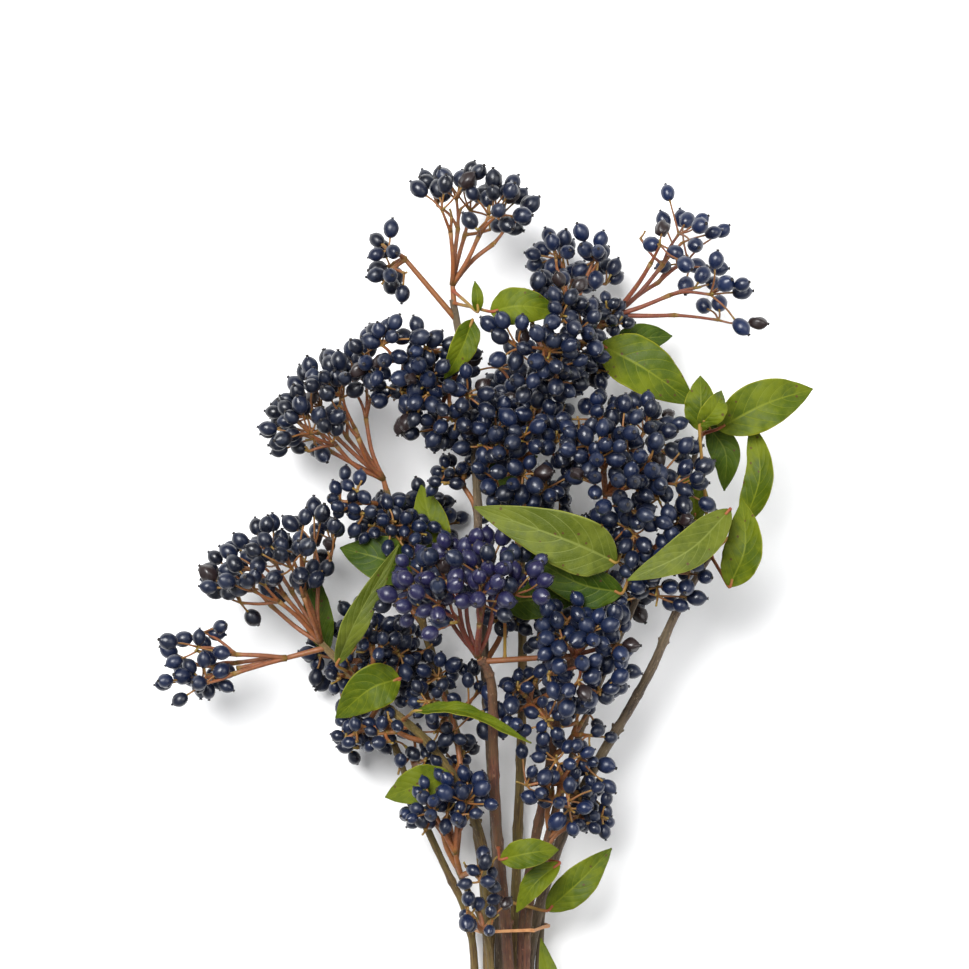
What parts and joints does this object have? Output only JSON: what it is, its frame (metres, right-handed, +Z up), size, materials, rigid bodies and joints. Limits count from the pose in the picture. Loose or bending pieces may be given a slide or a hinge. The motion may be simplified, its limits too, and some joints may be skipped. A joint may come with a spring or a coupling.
{
  "type": "laurustinus berry bunch",
  "caption": "Bunch of cut laurustinus stems lying down, with domed heads of blue-black berries on reddish twigs and pointed green leaves, held by a thin band near the cut ends.",
  "frame": {"origin": "on the surface that the bunch lies on, under the middle of its box", "axes": "+Y from the cut ends of the stems to the berries, +Z up from the surface, +X to the right of the picture's view"},
  "size_m": [0.2626, 0.394, 0.1155],
  "materials": {
    "berry": "waxy blue-black berry skin with a soft sheen",
    "bark": "brown to reddish bark with small knots",
    "leaf": "yellow-green leaf, half matt, with a paler rib",
    "band": "thin tan band"
  },
  "bodies": {
    "root": {"stem_top": "berry", "stem_upper_left": "berry", "stem_left": "berry", "stem_centre": "berry", "stem_right": "bark", "stem_middle": "berry", "stem_upper_right": "berry", "stem_leafy_right": "bark", "stem_far_left": "berry", "stem_low_left": "berry", "stem_low_right": "berry", "band": "band", "leaf_centre_light": "leaf", "leaf_centre_dark": "leaf", "leaf_right_light": "leaf", "leaf_far_right": "leaf", "leaf_right_wavy": "leaf", "leaf_right_short": "leaf", "leaf_right_low": "leaf", "leaf_top_right": "leaf", "leaf_top_right_back": "leaf", "leaf_right_young": "leaf", "leaf_right_round": "leaf", "leaf_top": "leaf", "leaf_top_stalk": "leaf", "leaf_top_tiny": "leaf", "leaf_left_light": "leaf", "leaf_left_back": "leaf", "leaf_left_low": "leaf", "leaf_left_under": "leaf", "leaf_front": "leaf", "leaf_low_left": "leaf", "leaf_low_front": "leaf", "leaf_low_fold": "leaf", "leaf_low_right": "leaf", "leaf_lowest": "leaf", "leaf_middle_dark": "leaf", "leaf_middle_back": "leaf", "leaf_middle_left": "leaf", "leaf_right_mid": "leaf"}
  },
  "joints": []
}
